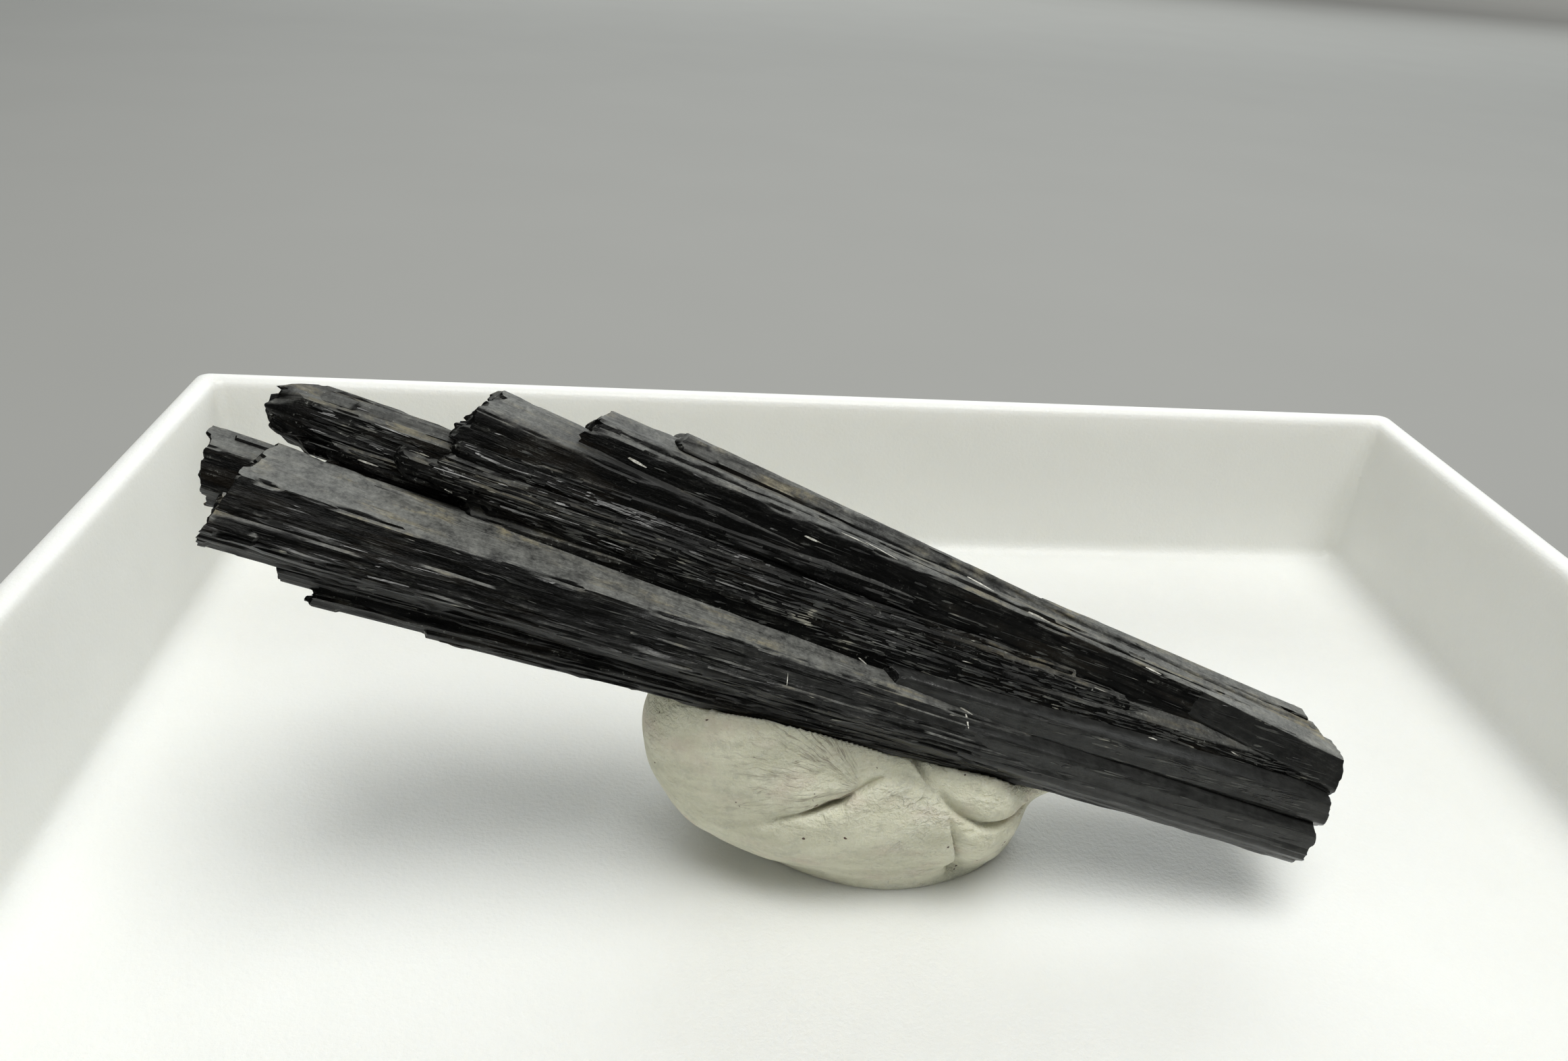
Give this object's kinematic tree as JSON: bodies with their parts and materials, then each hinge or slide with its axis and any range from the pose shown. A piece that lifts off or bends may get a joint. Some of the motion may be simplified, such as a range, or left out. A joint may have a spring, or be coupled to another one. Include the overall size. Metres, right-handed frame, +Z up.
{
  "type": "schorl crystal specimen on mineral tack in a tray",
  "caption": "Fan of black striated schorl crystals grown together, held tilted by a lump of off-white mineral tack in a shallow square white plastic tray.",
  "frame": {"origin": "centre of the tray's underside", "axes": "+Z up, +Y towards the tray's back wall, +X right, towards the root end of the crystal fan"},
  "size_m": [0.06, 0.06, 0.0175],
  "materials": {
    "tray": "white satin polystyrene, slightly translucent, with a fine moulded grain on the floor",
    "tack": "dull grey-cream kneaded putty with fine wrinkles, a pinched crease and dark specks",
    "schorl": "black, lengthwise striated, satin to glassy on the prism faces, with brownish weathered fibres between them"
  },
  "bodies": {
    "root": {"specimen_tray": "tray", "mineral_tack": "tack", "schorl_crystals": "schorl"}
  },
  "joints": []
}
